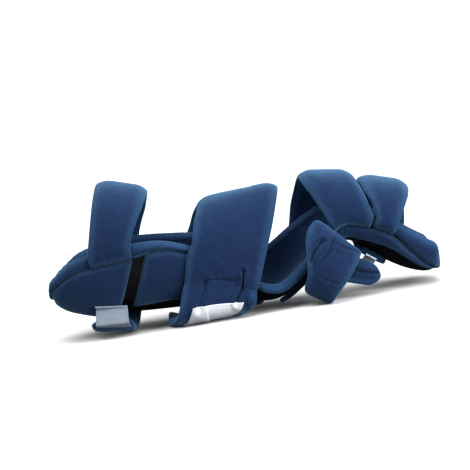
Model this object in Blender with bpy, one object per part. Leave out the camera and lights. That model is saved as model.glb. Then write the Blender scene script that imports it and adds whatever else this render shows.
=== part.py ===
"""Padded resting hand splint for a left forearm and hand, palm down.

A stiff trough carries the forearm, palm and fingers. A padded liner lies in it, with a border rolled
over its edge, and cloth panels cover its walls outside. Padded straps arch over the arm and hand, and
a flap loops round the thumb. Metres, +Z up, +X towards the fingertips, -Y the thumb's side. The origin
is on the flat underside of the wrist strap, where the splint rests.
"""

import math
from collections import namedtuple
from functools import lru_cache

import bmesh
import bpy
from mathutils import Vector

for thing in list(bpy.data.objects):
    bpy.data.objects.remove(thing)

# Overall sizes
LENGTH = 0.352
WIDTH = 0.092
WALL = 0.062
RISE = 0.040

# Thicknesses of the layers, from the arm outwards
LINER = 0.006
SHELL = 0.0025
PANEL = 0.0035
STRAP = 0.0045
WRAP = 0.005
TAB = 0.0014
LABEL = 0.0008

# Gaps between neighbours: cloth on the shell, and a strap over faceted walls
CLEAR = 0.0003
PANEL_CLEAR = 0.0005
STRAP_CLEAR = 0.0007

# The border: its width between rim and seam, how far it stands out, and the rounding of soft edges
BORDER = 0.010
BORDER_ROLL = 0.0062
END_BORDER = 0.009
EDGE_RADIUS = 0.0055
EDGE_SHARE = 0.3

# Shape of the trough's section and of the straps' arches, as powers of a superellipse
TROUGH_POWER = 2.4
ARCH_POWER = 2.25

# Heights of the straps' crowns over the floor, at the edge near the elbow and the one near the tips
PROXIMAL_CROWN = (0.1345, 0.1220)
WRIST_CROWN = (0.1035, 0.1070)
KNUCKLE_CROWN = (0.1130, 0.1065)
FINGER_CROWN = (0.1010, 0.0890)

# Black band left bare between the forearm's panels: its width, and where its edge nearer the elbow lies
# at the trough's bottom and at the seam, as shares of LENGTH
BAND_WIDTH = 0.011
BAND_SLANT = (-0.196, -0.148)

# Panels: where those of the forearm end and those of the palm and the finger pan start, as shares of
# LENGTH, and the lower edge of each, as a share of its wall's arc
ARM_PANEL_END = 0.085
PALM_PANEL_START = 0.185
PAN_PANEL_START = 0.352
ARM_PANEL_LOW = 0.32
PALM_PANEL_LOW = 0.48
PAN_PANEL_LOW = 0.57
HEM = 0.0016

# Distances of the layers from the liner's outer face: panels, straps over them and straps over the
# bare shell; and the height of the trough's bottom over the floor, above two layers of the wrist strap
PANEL_SEAT = CLEAR + SHELL + PANEL_CLEAR
STRAP_SEAT = PANEL_SEAT + PANEL + STRAP_CLEAR
SHELL_SEAT = CLEAR + SHELL + STRAP_CLEAR
STAND = SHELL_SEAT + 2.0 * STRAP + STRAP_CLEAR

# Shares of a wall's arc at which the border's seam and the shell's edge lie
SEAM = 0.8
SHELL_EDGE = 0.792

# Spacing of the rows along the trough: where it is straight, past the places between which it is, and
# at the bend of the knuckles, with those places as shares of LENGTH
ROW_STRAIGHT = 0.0185
ROW_CURVED = 0.0105
ROW_BEND = 0.0080
STRAIGHT = (-0.28, 0.16)
BEND = (0.33, 0.42)

# The trough from the elbow's end to the fingertips: place along it and rise of its bottom, lean of
# its section in degrees, half widths, wall heights and border, as shares of LENGTH, RISE, half of
# WIDTH, WALL and BORDER
Section = namedtuple("Section", "along rise lean near far near_wall far_wall border")
SECTIONS = (
    Section(-0.365, 0.900, 0.0, 0.43, 0.43, 0.13, 0.13, 0.70),
    Section(-0.355, 0.700, 0.0, 0.59, 0.59, 0.30, 0.30, 0.90),
    Section(-0.335, 0.530, 0.0, 0.74, 0.74, 0.50, 0.50, 1.00),
    Section(-0.301, 0.390, 0.0, 0.88, 0.88, 0.72, 0.72, 1.10),
    Section(-0.256, 0.270, 0.0, 0.96, 0.96, 0.86, 0.86, 1.15),
    Section(-0.165, 0.165, 0.0, 1.00, 1.00, 0.98, 0.98, 1.25),
    Section(-0.062, 0.100, 0.0, 0.91, 0.91, 0.98, 0.98, 0.80),
    Section(0.043, 0.045, 0.0, 0.81, 0.82, 0.73, 0.92, 0.75),
    Section(0.119, 0.000, 3.0, 0.80, 0.86, 0.38, 0.78, 0.75),
    Section(0.176, -0.075, 12.0, 0.84, 0.91, 0.26, 0.68, 0.70),
    Section(0.222, 0.040, 25.0, 0.82, 0.93, 0.18, 0.62, 0.65),
    Section(0.311, 0.600, 32.0, 0.76, 0.94, 0.18, 0.56, 0.65),
    Section(0.355, 0.870, 19.0, 0.80, 0.94, 0.31, 0.52, 0.70),
    Section(0.381, 0.965, 1.0, 0.85, 0.93, 0.37, 0.50, 0.80),
    Section(0.406, 0.900, -18.0, 0.88, 0.92, 0.40, 0.50, 0.85),
    Section(0.453, 0.555, -33.0, 0.90, 0.91, 0.52, 0.52, 1.00),
    Section(0.510, 0.208, -33.0, 0.87, 0.87, 0.50, 0.50, 1.45),
    Section(0.551, 0.035, -27.0, 0.78, 0.78, 0.46, 0.46, 1.80),
    Section(0.582, -0.020, -20.0, 0.66, 0.66, 0.41, 0.41, 1.80),
    Section(0.606, 0.080, -14.0, 0.55, 0.55, 0.27, 0.27, 0.80),
)

# Straps sewn at the near seam: where each edge lies along the splint at the seam, at the crown, at
# the far rim and at the free end, as shares of LENGTH, the free end's place round the trough, where
# it passes from a panel to the bare shell (-1 for never), and how far it hangs loose under the trough,
# which it does more and more between two places round it
Strap = namedtuple("Strap", "seam crown far end last bare slack")
PROXIMAL = Strap((-0.252, -0.150), (-0.211, -0.094), (-0.243, -0.141), (-0.270, -0.170),
                 -0.33, -1.0, 0.0085)
KNUCKLE = Strap((0.354, 0.446), (0.298, 0.425), (0.255, 0.370), (0.182, 0.276), -0.32, 0.5, 0.0)
FINGER = Strap((0.4515, 0.497), (0.447, 0.559), (0.455, 0.553), (0.420, 0.484), -0.34, 0.5, 0.0)
HANG = (0.25, -0.20)

# The wrist strap's edges, as shares of LENGTH: start under the trough, far rim, crown, near rim, near
# flank, corner, and both ends of the layer on the floor
WRIST_START = (-0.040, 0.148)
WRIST_FAR = (-0.015, 0.165)
WRIST_CROWN_EDGES = (0.035, 0.233)
WRIST_NEAR = (-0.004, 0.155)
WRIST_FLANK = (-0.034, 0.148)
WRIST_CORNER = (-0.062, 0.133)
WRIST_FLOOR = (-0.088, 0.098)
WRIST_END = (-0.095, 0.085)

# Its places round the trough where it starts and where each edge leaves the near wall, how far out its
# corner and the ends of its floor layer lie, as shares of half of WIDTH, and the corner's height
WRIST_FIRST = -0.12
WRIST_LEAVE = (-0.50, -0.88)
WRIST_CORNER_OUT = -0.97
WRIST_FLOOR_NEAR = -0.50
WRIST_FLOOR_FAR = 0.56
WRIST_CORNER_UP = 0.0122

# The dent of the stitched box in the wrist strap, round the strap and across it, with its soft edges
DENT = 0.0014
DENT_ROUND = (3.75, 4.35)
DENT_ACROSS = (0.28, 0.80)
DENT_SOFT = (0.1, 0.06)

# Hook tabs sewn on a strap's free end: places round the trough where each starts and ends, places
# across the strap, and the heights of its start and its end over the strap's outer face
HookTab = namedtuple("HookTab", "first last across start end")
PROXIMAL_TAB = HookTab(-0.30, -0.415, (0.13, 0.90), 0.0, -0.0134)
FINGER_TAB = HookTab(-0.12, -0.37, (0.34, 0.70), 0.0065, 0.0)

# The label's places round the wrist strap and across it
LABEL_ROUND = (4.27, 4.45)
LABEL_ACROSS = (0.19, 0.85)

# The thumb's flap, row by row round the thumb: its edge near the elbow and its edge near the tip,
# as shares of LENGTH along, half of WIDTH outwards and STAND + RISE upwards
Fold = namedtuple("Fold", "back_along back_out back_up tip_along tip_out tip_up")
WRAP_FOLDS = (
    Fold(0.318, 1.02, 1.42, 0.418, 0.88, 0.75),
    Fold(0.303, 1.10, 1.39, 0.410, 1.06, 0.69),
    Fold(0.283, 1.25, 1.19, 0.393, 1.23, 0.56),
    Fold(0.276, 1.31, 0.83, 0.368, 1.31, 0.37),
    Fold(0.270, 1.26, 0.54, 0.337, 1.25, 0.15),
    Fold(0.256, 1.09, 0.31, 0.319, 1.07, 0.00),
    Fold(0.264, 0.83, 0.21, 0.314, 0.83, -0.01),
    Fold(0.276, 0.57, 0.25, 0.322, 0.57, 0.04),
    Fold(0.288, 0.34, 0.32, 0.350, 0.35, 0.50),
)

# How far its middle bulges past a straight line between its edges at each fold, in the same shares, and
# where its end is sewn under the palm
Bulge = namedtuple("Bulge", "along out up")
FLAT = Bulge(0.0, 0.0, 0.0)
WRAP_BULGES = (
    Bulge(-0.018, 0.19, 0.150),
    Bulge(-0.014, 0.13, 0.050),
    Bulge(-0.009, 0.05, -0.030),
    Bulge(-0.003, 0.00, -0.020),
    FLAT, FLAT, FLAT, FLAT, FLAT, FLAT,
)
WRAP_END = (0.286, 0.362)
WRAP_END_ROUND = -0.34

# The tongue behind the thumb, from its root at the palm to its rounded tip: its upper and its lower
# edge, in the same shares
CRADLE_ROOT = (0.338, 0.284)
CRADLE_ROUND = -0.62
CRADLE_FOLDS = (
    Fold(0.384, 0.82, 0.73, 0.328, 0.80, 0.36),
    Fold(0.419, 0.81, 0.60, 0.380, 0.80, 0.25),
    Fold(0.447, 0.78, 0.47, 0.424, 0.78, 0.16),
    Fold(0.458, 0.78, 0.36, 0.446, 0.78, 0.18),
)


def smooth(keys, values, t):
    """Value at t on a smooth curve through the keyed values."""
    last = len(keys) - 1
    t = min(max(t, keys[0]), keys[last])
    i = max(k for k in range(last) if keys[k] <= t)
    span = keys[i + 1] - keys[i]
    share = (t - keys[i]) / span

    def slope(k):
        low, high = max(k - 1, 0), min(k + 1, last)
        return (values[high] - values[low]) / (keys[high] - keys[low])

    start, end = values[i], values[i + 1]
    rise = slope(i) * span
    fall = slope(i + 1) * span
    s2, s3 = share * share, share ** 3
    return (start * (2 * s3 - 3 * s2 + 1) + rise * (s3 - 2 * s2 + share)
            + end * (3 * s2 - 2 * s3) + fall * (s3 - s2))


def step(low, high, t):
    """Soft step from 0 to 1 between low and high."""
    share = min(max((t - low) / (high - low), 0.0), 1.0)
    return share * share * (3.0 - 2.0 * share)


def mix(pair, share):
    """Value between the two of a pair, or past them."""
    return pair[0] + (pair[1] - pair[0]) * share


def rounded(distance):
    """Share of the full thickness that far in from a soft edge."""
    t = min(max(distance / EDGE_RADIUS, 0.0), 1.0)
    return max(EDGE_SHARE, math.sqrt(t * (2.0 - t)))


def spine_keys():
    """Distances along the trough's bottom at which the sections stand."""
    keys = [0.0]
    for back, front in zip(SECTIONS, SECTIONS[1:]):
        run = (front.along - back.along) * LENGTH
        climb = (front.rise - back.rise) * RISE
        keys.append(keys[-1] + math.hypot(run, climb))
    return keys


KEYS = spine_keys()
REACH = KEYS[-1]
COLUMNS = tuple(zip(*SECTIONS))


@lru_cache(maxsize=None)
def section(u):
    """Row of the section table at a distance along the trough's bottom."""
    return Section(*(smooth(KEYS, column, u) for column in COLUMNS))


@lru_cache(maxsize=None)
def half_profile(width, wall):
    """Points on half a U from its bottom to its rim, and the length of arc up to each."""
    points = []
    for i in range(61):
        turn = math.radians(90.0) * i / 60
        across = width * math.sin(turn) ** (2.0 / TROUGH_POWER)
        up = wall * (1.0 - max(math.cos(turn), 0.0) ** (2.0 / TROUGH_POWER))
        points.append((across, up))
    arcs = [0.0]
    for a, b in zip(points, points[1:]):
        arcs.append(arcs[-1] + math.dist(a, b))
    return points, arcs


@lru_cache(maxsize=None)
def half_of(u, side):
    """Half profile, arcs and border of the near (-1) or far (1) wall at a place along the trough."""
    row = section(u)
    width = (row.near if side < 0 else row.far) * WIDTH / 2
    wall = (row.near_wall if side < 0 else row.far_wall) * WALL
    points, arcs = half_profile(width, wall)
    return points, arcs, row.border * BORDER


def bare_hull(u, v):
    """Point on the liner's outer face: v runs from -1 at the near rim to 1 at the far rim."""
    side = -1 if v < 0 else 1
    points, arcs, border = half_of(u, side)
    reach = arcs[-1]
    seam = reach - border
    share = abs(v)
    if share <= SEAM:
        arc = share / SEAM * seam
    else:
        arc = seam + (share - SEAM) / (1.0 - SEAM) * border
    i = 0
    while i < len(arcs) - 2 and arcs[i + 1] < arc:
        i += 1
    part = (arc - arcs[i]) / (arcs[i + 1] - arcs[i])
    across = mix((points[i][0], points[i + 1][0]), part)
    up = mix((points[i][1], points[i + 1][1]), part)
    row = section(u)
    lean = math.radians(row.lean)
    return Vector((row.along * LENGTH - math.sin(lean) * up,
                   side * across,
                   STAND + row.rise * RISE + math.cos(lean) * up))


def facing(surface, s, t, low, high, reach=0.004):
    """Unit normal of a surface given as a function of two places, within their ranges."""
    ds = (high[0] - low[0]) * reach
    dt = (high[1] - low[1]) * reach
    along = surface(min(s + ds, high[0]), t) - surface(max(s - ds, low[0]), t)
    across = surface(s, min(t + dt, high[1])) - surface(s, max(t - dt, low[1]))
    return along.cross(across).normalized()


def hull(u, v, lift=0.0):
    """Point over the liner's outer face, lifted outwards from it."""
    outward = facing(bare_hull, u, v, (0.0, -1.0), (REACH, 1.0))
    return bare_hull(u, v) - outward * lift


def station(x, v=0.0):
    """Distance along the trough's bottom at which the point at v has the given x."""
    low, high = 0.0, REACH
    for _ in range(40):
        middle = (low + high) / 2
        if bare_hull(middle, v).x < x:
            low = middle
        else:
            high = middle
    return (low + high) / 2


def finish(name, bm, colour, roughness):
    """Object from a closed bmesh, with its faces pointing out and a plain material of its own."""
    if bm.calc_volume(signed=True) < 0.0:
        bmesh.ops.reverse_faces(bm, faces=bm.faces[:])
    mesh = bpy.data.meshes.new(name)
    bm.to_mesh(mesh)
    bm.free()
    material = bpy.data.materials.new(name)
    material.use_nodes = True
    shader = material.node_tree.nodes["Principled BSDF"]
    shader.inputs["Base Color"].default_value = (*colour, 1.0)
    shader.inputs["Roughness"].default_value = roughness
    shader.inputs["Metallic"].default_value = 0.0
    mesh.materials.append(material)
    mesh.shade_smooth()
    mesh.set_sharp_from_angle(angle=math.radians(50.0))
    thing = bpy.data.objects.new(name, mesh)
    bpy.context.scene.collection.objects.link(thing)
    return thing


def pad(name, rows, columns, inner, outer, colour, roughness=0.9):
    """Closed slab between an inner and an outer face, each a function of a row and a column."""
    bm = bmesh.new()
    bmesh.ops.create_grid(bm, x_segments=len(columns) - 1, y_segments=len(rows) - 1, size=1.0)
    slot = bm.verts.layers.int.new("slot")
    bm.verts.ensure_lookup_table()
    for i, vert in enumerate(bm.verts):
        vert[slot] = i
    lifted = bmesh.ops.extrude_face_region(bm, geom=bm.faces[:])["geom"]
    top = {g for g in lifted if isinstance(g, bmesh.types.BMVert)}
    for vert in bm.verts:
        row, column = divmod(vert[slot], len(columns))
        face = outer if vert in top else inner
        vert.co = face(rows[row], columns[column])
    return finish(name, bm, colour, roughness)


def spread(low, high, count):
    """Evenly spaced values from low to high."""
    return [low + (high - low) * i / count for i in range(count + 1)]


def on_floor(point):
    """Point kept from sinking below the floor."""
    return Vector((point.x, point.y, max(point.z, 0.0)))


# Shares across a soft band at which its grid lines stand, close together at its rounded edges
ACROSS = (0.0, 0.04, 0.16, 0.5, 0.84, 0.96, 1.0)

# Lines round the trough's wall, from its bottom to the seam, that all its layers share
LINES = (0.0, 0.16, 0.32, 0.48, 0.62, 0.72)

NAVY = (0.045, 0.085, 0.16)
BLACK = (0.012, 0.012, 0.014)
GREY = (0.42, 0.47, 0.52)
WHITE = (0.85, 0.85, 0.84)


def trough_rows():
    """Distances along the trough's bottom that its layers share, closer where it bends."""
    rows = [END_BORDER]
    while rows[-1] < REACH - END_BORDER:
        place = section(rows[-1]).along
        close = ROW_STRAIGHT if STRAIGHT[0] < place < STRAIGHT[1] else ROW_CURVED
        if BEND[0] < place < BEND[1]:
            close = ROW_BEND
        rows.append(rows[-1] + close)
    scale = (REACH - 2.0 * END_BORDER) / (rows[-1] - END_BORDER)
    return [END_BORDER + (row - END_BORDER) * scale for row in rows]


ROWS = trough_rows()


def both_sides(side):
    """Columns round the whole trough from those of its far half."""
    return [-v for v in reversed(side[1:])] + list(side)


def make_liner():
    """Padded bed with the border that rolls over the shell's edge all round."""
    step_run = 0.0005

    def depth(u, v):
        ends = min(u, REACH - u)
        sides = (1.0 - abs(v)) / (1.0 - SEAM) * section(u).border * BORDER
        rolled = abs(v) > SEAM + 0.001 or ends < END_BORDER
        top = BORDER_ROLL if rolled else 0.0
        middle = (top - LINER) / 2
        half = (top + LINER) / 2 * rounded(min(ends, sides))
        return middle - half, middle + half

    heel = [0.0, 0.0015, 0.005, END_BORDER - step_run]
    rows = heel + ROWS + [REACH - place for place in reversed(heel)]
    columns = both_sides(LINES + (SEAM, SEAM + 0.012, 0.89, 0.96, 1.0))
    pad("liner", rows, columns, lambda u, v: hull(u, v, depth(u, v)[0]),
        lambda u, v: hull(u, v, depth(u, v)[1]), NAVY)


def make_shell():
    """Stiff black trough from seam to seam."""
    rows = [ROWS[0] + 2.0 * CLEAR] + ROWS[1:-1] + [ROWS[-1] - 2.0 * CLEAR]
    columns = both_sides(LINES + (SHELL_EDGE,))
    pad("base_shell", rows, columns, lambda u, v: hull(u, v, CLEAR),
        lambda u, v: hull(u, v, CLEAR + SHELL), BLACK, 0.55)


def make_panel(name, start, end, first, last):
    """Cloth panel outside the shell, between two places along and two round the trough."""
    lines = [v for v in both_sides(LINES) if first + 0.07 < v < last - 0.07]
    columns = [first, first + 0.025] + lines + [last - 0.025, last]
    low = max(start(v) for v in columns) + 3.5 * HEM
    high = min(end(v) for v in columns) - 3.5 * HEM
    inside = [row for row in ROWS if low < row < high]
    rows = [lambda v: start(v), lambda v: start(v) + HEM, lambda v: start(v) + 3.0 * HEM]
    rows += [lambda v, row=row: row for row in inside]
    rows += [lambda v: end(v) - 3.0 * HEM, lambda v: end(v) - HEM, lambda v: end(v)]

    def depth(row, v):
        u = row(v)
        scale = (half_of(u, -1)[1][-1] - section(u).border * BORDER) / SEAM
        sides = min(v - first, last - v) * scale
        ends = min(u - start(v), end(v) - u)
        return PANEL_SEAT + PANEL * rounded(2.0 * min(sides, ends))

    pad(name, rows, columns, lambda row, v: hull(row(v), v, PANEL_SEAT),
        lambda row, v: hull(row(v), v, depth(row, v)), NAVY)


def band_edge(v):
    """Where the black band ends nearer the elbow: it slants towards the elbow going down."""
    return station(mix(BAND_SLANT, abs(v) / SEAM) * LENGTH)


def make_panels():
    """Panels of the forearm, either side of the black band, and of the finger pan."""
    heel = END_BORDER + 2.0 * CLEAR
    tip = REACH - END_BORDER - 2.0 * CLEAR
    make_panel("arm_panel_rear", lambda v: heel, band_edge, -SHELL_EDGE, SHELL_EDGE)
    wrist = station(ARM_PANEL_END * LENGTH)
    make_panel("arm_panel_near", lambda v: band_edge(v) + BAND_WIDTH, lambda v: wrist,
               -SHELL_EDGE, -ARM_PANEL_LOW)
    make_panel("arm_panel_far", lambda v: band_edge(v) + BAND_WIDTH, lambda v: wrist,
               ARM_PANEL_LOW, SHELL_EDGE)
    pan = station(PAN_PANEL_START * LENGTH)
    palm = station(PALM_PANEL_START * LENGTH)
    make_panel("hand_panel_near", lambda v: pan, lambda v: tip, -SHELL_EDGE, -PAN_PANEL_LOW)
    make_panel("hand_panel_far", lambda v: palm, lambda v: tip, PALM_PANEL_LOW, SHELL_EDGE)


def ruled(back, tip):
    """Surface between two edge curves, each a function of a place round the piece."""
    def surface(t, w):
        return back(t) * (1.0 - w) + tip(t) * w
    return surface


def soft_band(name, surface, last, rows, thickness, sign, dent=None):
    """Padded band over a surface of a place round it (0 to last) and a share across it (0 to 1)."""
    def depth(t, w):
        across = (surface(t, 1.0) - surface(t, 0.0)).length * min(w, 1.0 - w)
        near_end = min(t, last - t)
        inner_end = t + 0.02 if t < last / 2 else t - 0.02
        pace = (surface(inner_end, w) - surface(t, w)).length / 0.02
        half = rounded(min(across, near_end * pace))
        sunk = dent(t, w) if dent else 0.0
        return thickness * (1.0 - half) / 2, thickness * (1.0 + half) / 2 - sunk

    def face(t, w, lift):
        return surface(t, w) + facing(surface, t, w, (0.0, 0.0), (last, 1.0), 0.006) * (sign * lift)

    pad(name, rows, ACROSS, lambda t, w: on_floor(face(t, w, depth(t, w)[0])),
        lambda t, w: on_floor(face(t, w, depth(t, w)[1])), NAVY)
    return face


def arch(foot, crown, t):
    """Quarter of an arch from a foot (t 0) up to its crown (t 1), leaning evenly with height."""
    turn = math.radians(90.0) * t
    up = math.sin(turn) ** (2.0 / ARCH_POWER)
    out = max(math.cos(turn), 0.0) ** (2.0 / ARCH_POWER)
    return Vector((mix((foot.x, crown.x), up), crown.y + (foot.y - crown.y) * out,
                   mix((foot.z, crown.z), up)))


def far_wall(strap):
    """Place round the trough and across a sewn strap on its way down from the far rim and under."""
    rims = [station(x * LENGTH, 1.0) for x in strap.far]
    ends = [station(x * LENGTH, strap.last) for x in strap.end]

    def place(v, w, lift):
        down = (1.0 - v) / (1.0 - strap.last)
        return hull(mix((mix(rims, w), mix(ends, w)), down), v, lift)

    return place


def seat_of(strap, v):
    """Height of a sewn strap's inner face over the liner."""
    sunk = (STRAP_SEAT - SHELL_SEAT) * (1.0 - step(strap.bare - 0.22, strap.bare - 0.02, v))
    return STRAP_SEAT - sunk + strap.slack * step(HANG[0], HANG[1], v)


def sewn_strap(name, strap, crowns):
    """Strap sewn at the near seam, arching over and tucked under the trough from the far side."""
    feet = [station(x * LENGTH, -SEAM) for x in strap.seam]
    place = far_wall(strap)

    def surface(t, w):
        crown = Vector((mix(strap.crown, w) * LENGTH, 0.0, mix(crowns, w)))
        if t < 1.0:
            return hull(mix(feet, w), mix((-SEAM - 0.01, -1.0), t), STRAP_SEAT)
        if t < 2.0:
            return arch(hull(mix(feet, w), -1.0, STRAP_SEAT), crown, t - 1.0)
        if t < 3.0:
            return arch(place(1.0, w, STRAP_SEAT), crown, 3.0 - t)
        v = mix((1.0, strap.last), t - 3.0)
        return place(v, w, seat_of(strap, v))

    lines = [v for v in both_sides(LINES + (SHELL_EDGE, 0.9)) if strap.last + 0.1 < v]
    tucked = [3.0 + (1.0 - v) / (1.0 - strap.last) for v in reversed(lines)]
    rows = [0.0, 0.12, 0.4] + spread(1.0, 3.0, 13) + tucked + [3.95, 3.985, 4.0]
    soft_band(name, surface, 4.0, rows, STRAP, -1.0)


def make_wrist_strap():
    """Wide band round the wrist: from under the trough up the far side, over and down to the floor."""
    starts = [station(x * LENGTH, WRIST_FIRST) for x in WRIST_START]
    rims = [station(x * LENGTH, 1.0) for x in WRIST_FAR]
    nears = [station(x * LENGTH, -1.0) for x in WRIST_NEAR]
    flanks = [station(x * LENGTH, v) for x, v in zip(WRIST_FLANK, WRIST_LEAVE)]
    keys = (0.0, 0.3, 0.55, 0.78, 1.0)

    def folded(w):
        low = hull(mix(flanks, w), mix(WRIST_LEAVE, w), STRAP_SEAT)
        corner = Vector((mix(WRIST_CORNER, w) * LENGTH, WRIST_CORNER_OUT * WIDTH / 2, WRIST_CORNER_UP))
        near = Vector((mix(WRIST_FLOOR, w) * LENGTH, WRIST_FLOOR_NEAR * WIDTH / 2, STRAP))
        far = Vector((mix(WRIST_END, w) * LENGTH, WRIST_FLOOR_FAR * WIDTH / 2, STRAP))
        return low, corner, near, near.lerp(far, 0.5), far

    def surface(t, w):
        crown = Vector((mix(WRIST_CROWN_EDGES, w) * LENGTH, 0.0, mix(WRIST_CROWN, w)))
        if t < 1.0:
            v = mix((WRIST_FIRST, 1.0), t)
            sunk = (STRAP_SEAT - SHELL_SEAT) * (1.0 - step(0.16, 0.31, v))
            return hull(mix((mix(starts, w), mix(rims, w)), t), v, STRAP_SEAT - sunk)
        if t < 2.0:
            return arch(hull(mix(rims, w), 1.0, STRAP_SEAT), crown, t - 1.0)
        if t < 3.0:
            return arch(hull(mix(nears, w), -1.0, STRAP_SEAT), crown, 3.0 - t)
        if t < 4.0:
            v = mix((-1.0, mix(WRIST_LEAVE, w)), t - 3.0)
            return hull(mix((mix(nears, w), mix(flanks, w)), t - 3.0), v, STRAP_SEAT)
        points = folded(w)
        return Vector([smooth(keys, [p[i] for p in points], t - 4.0) for i in range(3)])

    def dent(t, w):
        inside = DENT
        for place, (low, high), soft in zip((t, w), (DENT_ROUND, DENT_ACROSS), DENT_SOFT):
            inside *= step(low - soft, low + soft, place) * (1.0 - step(high - soft, high + soft, place))
        return inside

    lines = [v for v in both_sides(LINES + (SHELL_EDGE, 0.9)) if WRIST_FIRST + 0.1 < v]
    under = [(v - WRIST_FIRST) / (1.0 - WRIST_FIRST) for v in lines]
    rows = [0.0, 0.015, 0.05] + under + spread(1.0, 2.86, 11) + spread(3.0, 4.0, 3)
    rows += spread(4.1, 4.9, 8) + [4.96, 4.985, 5.0]
    return soft_band("wrist_strap", surface, 5.0, rows, STRAP, 1.0, dent)


def folds_edge(folds, tip, sewn, sewn_first=False):
    """Edge curve through the folds of a table, and the point where it is sewn on at its last or first."""
    points = []
    for fold in folds:
        along, out, up = fold[3:] if tip else fold[:3]
        points.append(Vector((along * LENGTH, -out * WIDTH / 2, up * (STAND + RISE))))
    points.insert(0 if sewn_first else len(points), sewn)
    keys = list(range(len(points)))
    return lambda t: Vector([smooth(keys, [p[i] for p in points], t) for i in range(3)])


def make_thumb_wrap():
    """Wide padded flap that hangs from the palm's edge round the thumb and comes up under the palm."""
    seat = SHELL_SEAT + CLEAR
    stations = [station(x * LENGTH, WRAP_END_ROUND) for x in WRAP_END]
    ends = [hull(place, WRAP_END_ROUND, seat) for place in stations]
    plain = ruled(folds_edge(WRAP_FOLDS, False, ends[0]), folds_edge(WRAP_FOLDS, True, ends[1]))
    last = float(len(WRAP_FOLDS))
    keys = list(range(len(WRAP_BULGES)))
    size = (LENGTH, -WIDTH / 2, STAND + RISE)

    def surface(t, w):
        bulge = [smooth(keys, column, t) * scale for column, scale in zip(zip(*WRAP_BULGES), size)]
        hung = plain(t, w) + Vector(bulge) * (4.0 * w * (1.0 - w))
        if t < last - 1.5:
            return hung
        sewn = hull(mix(stations, w), WRAP_END_ROUND, seat)
        return hung + (sewn - ends[0].lerp(ends[1], w)) * step(last - 1.5, last, t)

    rows = [0.0, 0.03, 0.12] + spread(0.35, last - 0.35, 20) + [last - 0.12, last - 0.03, last]
    soft_band("thumb_wrap", surface, last, rows, WRAP, -1.0)


def make_thumb_cradle():
    """Padded tongue behind the thumb, sewn along the palm's edge with its tip rounded."""
    roots = [hull(station(x * LENGTH, CRADLE_ROUND), CRADLE_ROUND, SHELL_SEAT) for x in CRADLE_ROOT]
    surface = ruled(folds_edge(CRADLE_FOLDS, False, roots[0], True),
                    folds_edge(CRADLE_FOLDS, True, roots[1], True))
    last = float(len(CRADLE_FOLDS))
    rows = [0.0, 0.04, 0.15] + spread(0.4, last - 0.3, 10) + [last - 0.12, last - 0.03, last]
    soft_band("thumb_cradle", surface, last, rows, WRAP, 1.0)


def make_hook_tab(name, strap, tab):
    """Hook tape sewn on a strap's free end and reaching past it."""
    place = far_wall(strap)
    edge = strap.last - 0.01

    def height(v):
        loose = tab.start * step(edge, tab.first, v) + tab.end * step(edge, tab.last, v)
        return seat_of(strap, v) + STRAP + CLEAR + loose

    pad(name, spread(tab.first, edge, 3) + spread(edge, tab.last, 4)[1:], spread(*tab.across, 4),
        lambda v, w: place(v, w, height(v)), lambda v, w: place(v, w, height(v) + TAB), GREY, 0.7)


def make_label(face):
    """Thin bare label sewn on the wrist strap, round its folded corner."""
    base = STRAP + CLEAR
    pad("label", spread(*LABEL_ROUND, 4), spread(*LABEL_ACROSS, 4), lambda t, w: face(t, w, base),
        lambda t, w: face(t, w, base + LABEL), WHITE, 0.7)


make_liner()
make_shell()
make_panels()
sewn_strap("proximal_strap", PROXIMAL, PROXIMAL_CROWN)
sewn_strap("knuckle_strap", KNUCKLE, KNUCKLE_CROWN)
sewn_strap("finger_strap", FINGER, FINGER_CROWN)
make_hook_tab("proximal_tab", PROXIMAL, PROXIMAL_TAB)
make_hook_tab("finger_tab", FINGER, FINGER_TAB)
make_label(make_wrist_strap())
make_thumb_wrap()
make_thumb_cradle()
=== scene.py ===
"""Padded resting hand splint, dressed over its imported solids, from the stiff trough outwards."""

import math
from collections import namedtuple

import bmesh
import bpy
import numpy as np
from mathutils import Matrix, Vector, noise


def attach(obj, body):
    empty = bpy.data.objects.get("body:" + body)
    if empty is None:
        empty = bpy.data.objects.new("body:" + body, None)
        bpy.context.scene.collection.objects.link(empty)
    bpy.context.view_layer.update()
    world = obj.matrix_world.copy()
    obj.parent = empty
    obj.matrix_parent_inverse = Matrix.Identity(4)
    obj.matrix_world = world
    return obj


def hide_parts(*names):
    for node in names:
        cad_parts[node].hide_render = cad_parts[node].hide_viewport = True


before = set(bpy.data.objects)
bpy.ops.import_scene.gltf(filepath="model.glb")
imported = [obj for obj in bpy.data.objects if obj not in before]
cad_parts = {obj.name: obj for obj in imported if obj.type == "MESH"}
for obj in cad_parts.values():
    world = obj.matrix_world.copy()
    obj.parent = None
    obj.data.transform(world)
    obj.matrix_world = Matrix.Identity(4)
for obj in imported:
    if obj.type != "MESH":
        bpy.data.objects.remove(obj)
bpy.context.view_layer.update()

# Camera, table and light
# The splint is seen from the thumb's side, a little from above, with the camera turned so that the
# forearm runs level. It lies on a white table under a wide soft light above and a weak lamp in front.
CAMERA_PLACE = (0.03908, -1.48826, 0.19962)
CAMERA_DROP = math.radians(5.0)
CAMERA_ROLL = math.radians(9.6)
LENS = 127.66
TABLE_RADIUS = 14.0


def put(name, data):
    """New object in the scene."""
    thing = bpy.data.objects.new(name, data)
    bpy.context.scene.collection.objects.link(thing)
    return thing


def mesh_of(name, bm):
    """New mesh from a bmesh, which is freed."""
    mesh = bpy.data.meshes.new(name)
    bm.to_mesh(mesh)
    bm.free()
    return mesh


def feed(sockets, values):
    """Gives inputs their values, or the outputs that feed them."""
    for socket, value in zip(sockets, values):
        if isinstance(value, bpy.types.NodeSocket):
            socket.id_data.links.new(value, socket)
        else:
            socket.default_value = value


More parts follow.
